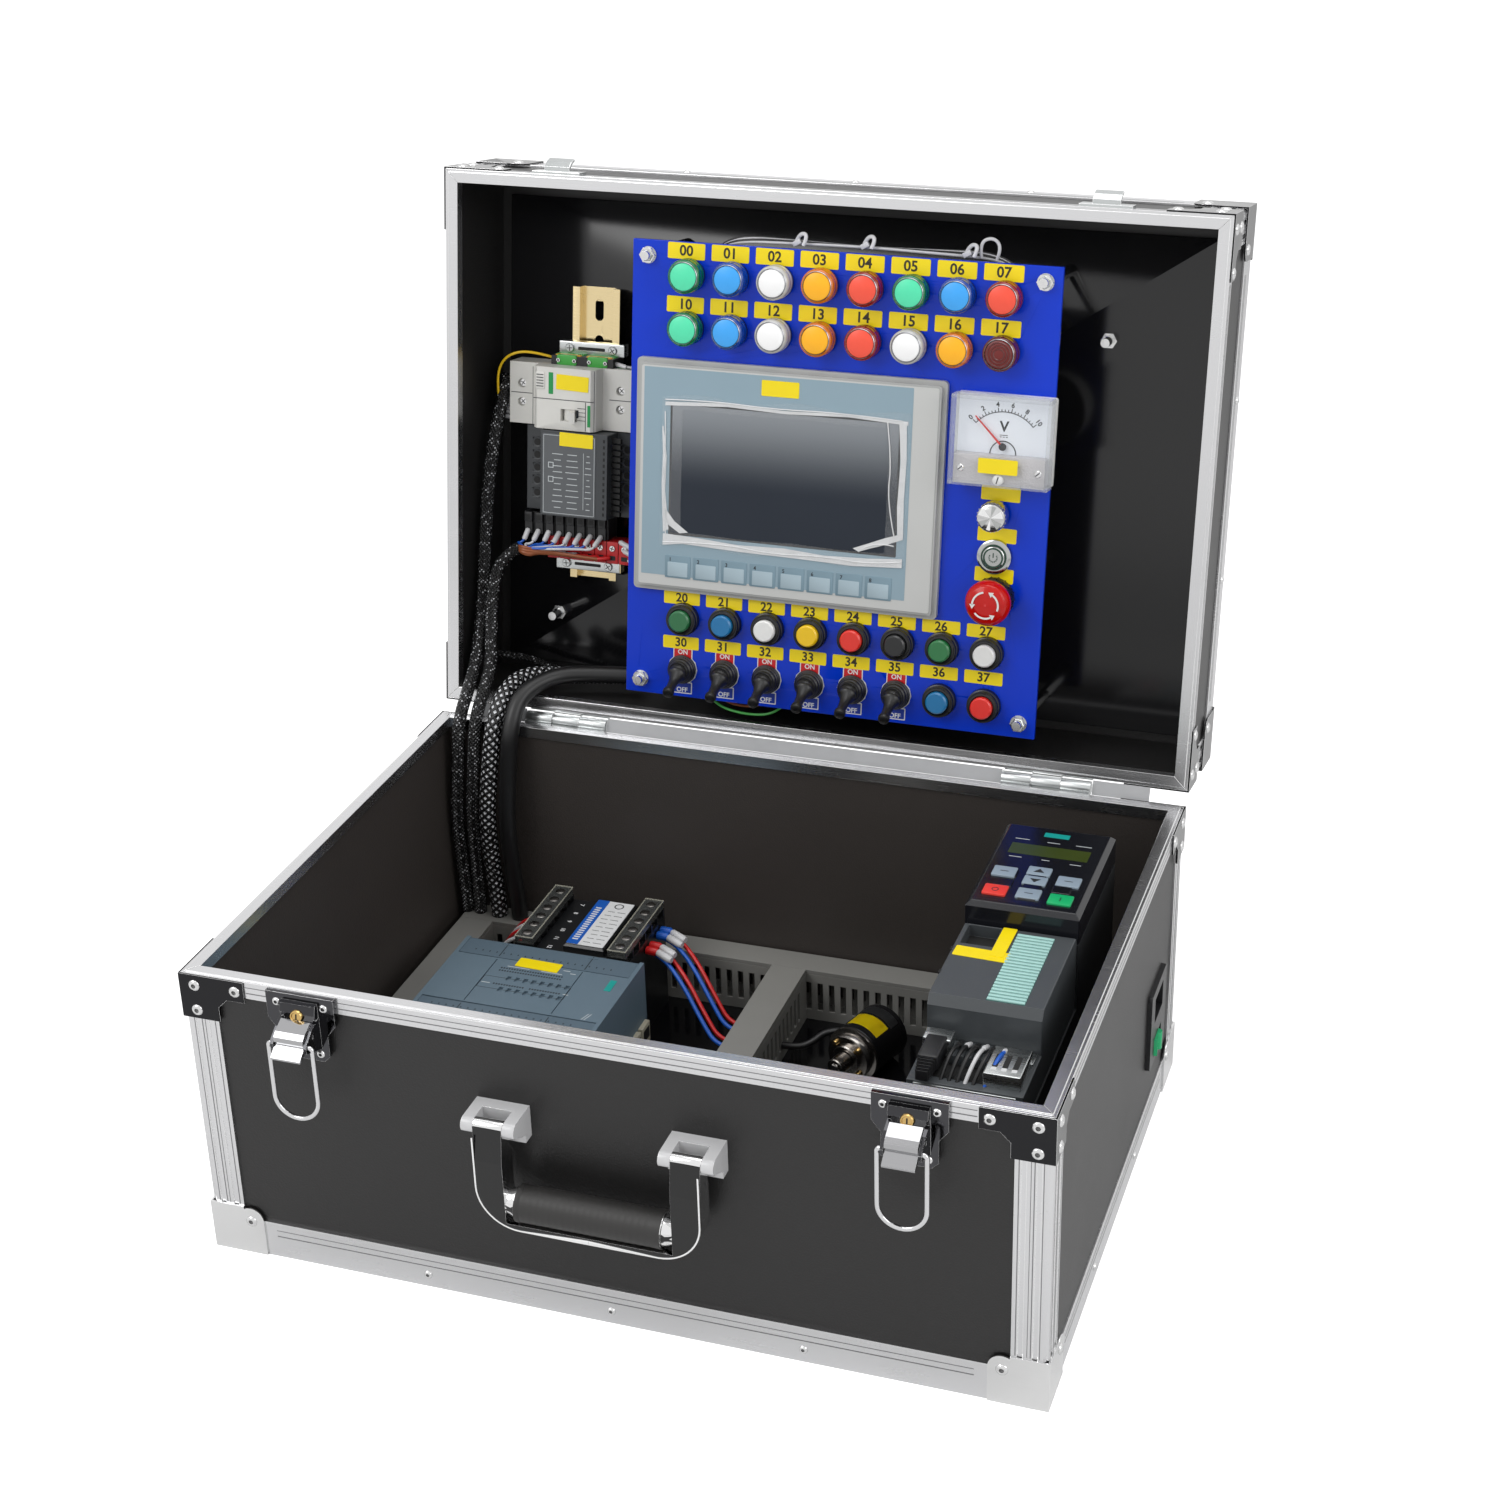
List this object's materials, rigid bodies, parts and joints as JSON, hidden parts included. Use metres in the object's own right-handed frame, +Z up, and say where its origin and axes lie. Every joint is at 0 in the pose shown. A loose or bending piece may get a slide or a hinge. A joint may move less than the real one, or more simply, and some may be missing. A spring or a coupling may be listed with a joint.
{
  "type": "programmable controller trainer case",
  "caption": "Controller trainer in a black flight case with aluminium edges: a blue panel of lamps, switches and a screen in the open lid, with controller, inverter and ducts in the base.",
  "frame": {"origin": "the middle of the underside of the case's base", "axes": "+X to the right of the control panel as seen from the front, +Y to the hinge side, +Z up"},
  "size_m": [0.5357, 0.5567, 0.5789],
  "materials": {
    "case_laminate": "black grained laminate on plywood",
    "case_aluminium": "bright extruded, ribbed on the corner posts",
    "corner_steel": "pressed and plated",
    "plated_fitting": "nickel plated",
    "hinge_steel": "satin",
    "duct_grey": "satin",
    "controller_slate": "satin",
    "controller_flap": "satin",
    "isolator_plastic": "satin",
    "encoder_metal": "black anodised case with a bare metal flange",
    "shaft_steel": "ground",
    "inverter_grey": "satin",
    "inverter_mid_grey": "satin",
    "keypad_black": "gloss",
    "inlet_plastic": "semi gloss",
    "rocker_green": "gloss",
    "cord_mixed": "black braid and sleeves with coloured cores",
    "board_black": "gloss",
    "bolt_steel": "bright",
    "panel_blue": "gloss",
    "terminal_grey": "satin with a glass display",
    "lamp_lens": "translucent lenses in black bezels",
    "collar_black": "semi gloss",
    "meter_clear": "clear case with a white dial",
    "needle_red": "red paint",
    "rail_zinc": "yellow zinc",
    "breaker_white": "satin",
    "breaker_lever_green": "satin",
    "supply_black": "satin",
    "terminal_mixed": "black, red and green-yellow blocks",
    "handle_black": "gloss with chrome edges and a rubber grip",
    "button_green": "satin",
    "button_blue": "satin",
    "button_white": "satin",
    "button_yellow": "satin",
    "button_red": "satin",
    "button_black": "satin",
    "boot_rubber": "matte",
    "knob_metal": "turned"
  },
  "bodies": {
    "case_base": {"base_boards": "case_laminate", "base_profiles": "case_aluminium", "base_corner_fittings": "corner_steel", "front_fittings": "plated_fitting", "hinge_base_leaves": "hinge_steel", "wiring_ducts": "duct_grey", "plc_housing": "controller_slate", "signal_isolator": "isolator_plastic", "encoder_housing": "encoder_metal", "inverter_power_unit": "inverter_grey", "inverter_control_unit": "inverter_mid_grey", "inverter_keypad": "keypad_black", "power_inlet": "inlet_plastic", "base_leads": "cord_mixed"},
    "case_lid": {"lid_boards": "case_laminate", "lid_profiles": "case_aluminium", "lid_corner_fittings": "corner_steel", "lid_hardware": "plated_fitting", "mounting_board": "board_black", "panel_standoffs": "bolt_steel", "control_panel": "panel_blue", "operator_terminal": "terminal_grey", "pilot_lamps": "lamp_lens", "operator_collars": "collar_black", "panel_meter": "meter_clear", "din_rail": "rail_zinc", "breaker_body": "breaker_white", "power_supply": "supply_black", "terminal_blocks": "terminal_mixed", "wiring_harness": "cord_mixed"},
    "carry_handle": {"carry_handle": "handle_black"},
    "left_latch_lever": {"left_latch_lever": "plated_fitting"},
    "left_latch_bail": {"left_latch_bail": "plated_fitting"},
    "right_latch_lever": {"right_latch_lever": "plated_fitting"},
    "right_latch_bail": {"right_latch_bail": "plated_fitting"},
    "plc_front_flap": {"plc_front_flap": "controller_flap"},
    "plc_rear_flap": {"plc_rear_flap": "controller_flap"},
    "encoder_shaft": {"encoder_shaft": "shaft_steel"},
    "inlet_rocker": {"inlet_rocker": "rocker_green"},
    "push_button_1": {"push_button_1": "button_green"},
    "push_button_2": {"push_button_2": "button_blue"},
    "push_button_3": {"push_button_3": "button_white"},
    "push_button_4": {"push_button_4": "button_yellow"},
    "push_button_5": {"push_button_5": "button_red"},
    "push_button_6": {"push_button_6": "button_black"},
    "push_button_7": {"push_button_7": "button_green"},
    "push_button_8": {"push_button_8": "button_white"},
    "push_button_9": {"push_button_9": "button_blue"},
    "push_button_10": {"push_button_10": "button_red"},
    "toggle_lever_1": {"toggle_lever_1": "boot_rubber"},
    "toggle_lever_2": {"toggle_lever_2": "boot_rubber"},
    "toggle_lever_3": {"toggle_lever_3": "boot_rubber"},
    "toggle_lever_4": {"toggle_lever_4": "boot_rubber"},
    "toggle_lever_5": {"toggle_lever_5": "boot_rubber"},
    "toggle_lever_6": {"toggle_lever_6": "boot_rubber"},
    "analogue_knob": {"analogue_knob": "knob_metal"},
    "power_button": {"power_button": "knob_metal"},
    "emergency_stop": {"emergency_stop": "button_red"},
    "meter_needle": {"meter_needle": "needle_red"},
    "breaker_lever": {"breaker_lever": "breaker_lever_green"}
  },
  "joints": [
    {"name": "lid_hinge", "type": "hinge", "parent": "case_base", "child": "case_lid", "pos_m": [0, 0.191, 0.201], "axis": [1, 0, 0], "range_deg": [0, 100], "deforming": ["wiring_harness"]},
    {"name": "handle_hinge", "type": "hinge", "parent": "case_base", "child": "carry_handle", "pos_m": [0, -0.2035, 0.1415], "axis": [-1, 0, 0], "range_deg": [0, 100]},
    {"name": "left_latch_lever_hinge", "type": "hinge", "parent": "case_base", "child": "left_latch_lever", "pos_m": [-0.185, -0.198, 0.178], "axis": [-1, 0, 0], "range_deg": [0, 110]},
    {"name": "left_latch_bail_hinge", "type": "hinge", "parent": "case_base", "child": "left_latch_bail", "pos_m": [-0.185, -0.2035, 0.174], "axis": [-1, 0, 0], "range_deg": [0, 170]},
    {"name": "right_latch_lever_hinge", "type": "hinge", "parent": "case_base", "child": "right_latch_lever", "pos_m": [0.185, -0.198, 0.178], "axis": [-1, 0, 0], "range_deg": [0, 110]},
    {"name": "right_latch_bail_hinge", "type": "hinge", "parent": "case_base", "child": "right_latch_bail", "pos_m": [0.185, -0.2035, 0.174], "axis": [-1, 0, 0], "range_deg": [0, 170]},
    {"name": "front_flap_hinge", "type": "hinge", "parent": "case_base", "child": "plc_front_flap", "pos_m": [-0.138, -0.028, 0.0881], "axis": [1, 0, 0], "range_deg": [0, 95]},
    {"name": "rear_flap_hinge", "type": "hinge", "parent": "case_base", "child": "plc_rear_flap", "pos_m": [-0.138, 0.068, 0.0881], "axis": [-1, 0, 0], "range_deg": [0, 95]},
    {"name": "encoder_shaft_turn", "type": "hinge", "parent": "case_base", "child": "encoder_shaft", "pos_m": [0.06304, 0.08442, 0.029], "axis": [-0.309, -0.9511, 0], "continuous": true},
    {"name": "inlet_rocker_pivot", "type": "hinge", "parent": "case_base", "child": "inlet_rocker", "pos_m": [0.262, 0.116, 0.063], "axis": [0, 0, -1], "range_deg": [0, 18]},
    {"name": "push_button_1_travel", "type": "slide", "parent": "case_lid", "child": "push_button_1", "axis": [0, 0.9848, -0.1736], "range_m": [0, 0.003], "stiffness_N_per_m": 60},
    {"name": "push_button_2_travel", "type": "slide", "parent": "case_lid", "child": "push_button_2", "axis": [0, 0.9848, -0.1736], "range_m": [0, 0.003], "stiffness_N_per_m": 60},
    {"name": "push_button_3_travel", "type": "slide", "parent": "case_lid", "child": "push_button_3", "axis": [0, 0.9848, -0.1736], "range_m": [0, 0.003], "stiffness_N_per_m": 60},
    {"name": "push_button_4_travel", "type": "slide", "parent": "case_lid", "child": "push_button_4", "axis": [0, 0.9848, -0.1736], "range_m": [0, 0.003], "stiffness_N_per_m": 60},
    {"name": "push_button_5_travel", "type": "slide", "parent": "case_lid", "child": "push_button_5", "axis": [0, 0.9848, -0.1736], "range_m": [0, 0.003], "stiffness_N_per_m": 60},
    {"name": "push_button_6_travel", "type": "slide", "parent": "case_lid", "child": "push_button_6", "axis": [0, 0.9848, -0.1736], "range_m": [0, 0.003], "stiffness_N_per_m": 60},
    {"name": "push_button_7_travel", "type": "slide", "parent": "case_lid", "child": "push_button_7", "axis": [0, 0.9848, -0.1736], "range_m": [0, 0.003], "stiffness_N_per_m": 60},
    {"name": "push_button_8_travel", "type": "slide", "parent": "case_lid", "child": "push_button_8", "axis": [0, 0.9848, -0.1736], "range_m": [0, 0.003], "stiffness_N_per_m": 60},
    {"name": "push_button_9_travel", "type": "slide", "parent": "case_lid", "child": "push_button_9", "axis": [0, 0.9848, -0.1736], "range_m": [0, 0.003], "stiffness_N_per_m": 60},
    {"name": "push_button_10_travel", "type": "slide", "parent": "case_lid", "child": "push_button_10", "axis": [0, 0.9848, -0.1736], "range_m": [0, 0.003], "stiffness_N_per_m": 60},
    {"name": "toggle_lever_1_pivot", "type": "hinge", "parent": "case_lid", "child": "toggle_lever_1", "pos_m": [-0.087, 0.1932, 0.24915], "axis": [-1, 0, 0], "range_deg": [0, 50]},
    {"name": "toggle_lever_2_pivot", "type": "hinge", "parent": "case_lid", "child": "toggle_lever_2", "pos_m": [-0.0565, 0.1932, 0.24915], "axis": [-1, 0, 0], "range_deg": [0, 50]},
    {"name": "toggle_lever_3_pivot", "type": "hinge", "parent": "case_lid", "child": "toggle_lever_3", "pos_m": [-0.026, 0.1932, 0.24915], "axis": [-1, 0, 0], "range_deg": [0, 50]},
    {"name": "toggle_lever_4_pivot", "type": "hinge", "parent": "case_lid", "child": "toggle_lever_4", "pos_m": [0.0045, 0.1932, 0.24915], "axis": [-1, 0, 0], "range_deg": [0, 50]},
    {"name": "toggle_lever_5_pivot", "type": "hinge", "parent": "case_lid", "child": "toggle_lever_5", "pos_m": [0.035, 0.1932, 0.24915], "axis": [-1, 0, 0], "range_deg": [0, 50]},
    {"name": "toggle_lever_6_pivot", "type": "hinge", "parent": "case_lid", "child": "toggle_lever_6", "pos_m": [0.0655, 0.1932, 0.24915], "axis": [-1, 0, 0], "range_deg": [0, 50]},
    {"name": "analogue_knob_turn", "type": "hinge", "parent": "case_lid", "child": "analogue_knob", "pos_m": [0.127, 0.21386, 0.3767], "axis": [0, 0.9848, -0.1736], "range_deg": [0, 300]},
    {"name": "power_button_travel", "type": "slide", "parent": "case_lid", "child": "power_button", "axis": [0, 0.9848, -0.1736], "range_m": [0, 0.002], "stiffness_N_per_m": 60},
    {"name": "emergency_stop_travel", "type": "slide", "parent": "case_lid", "child": "emergency_stop", "axis": [0, 0.9848, -0.1736], "range_m": [0, 0.004], "stiffness_N_per_m": 150},
    {"name": "meter_needle_turn", "type": "hinge", "parent": "case_lid", "child": "meter_needle", "pos_m": [0.131, 0.22086, 0.42218], "axis": [0, 0.9848, -0.1736], "range_deg": [0, 90]},
    {"name": "breaker_lever_pivot", "type": "hinge", "parent": "case_lid", "child": "breaker_lever", "pos_m": [-0.186, 0.26498, 0.4017], "axis": [0, -0.1736, -0.9848], "range_deg": [0, 40]}
  ]
}
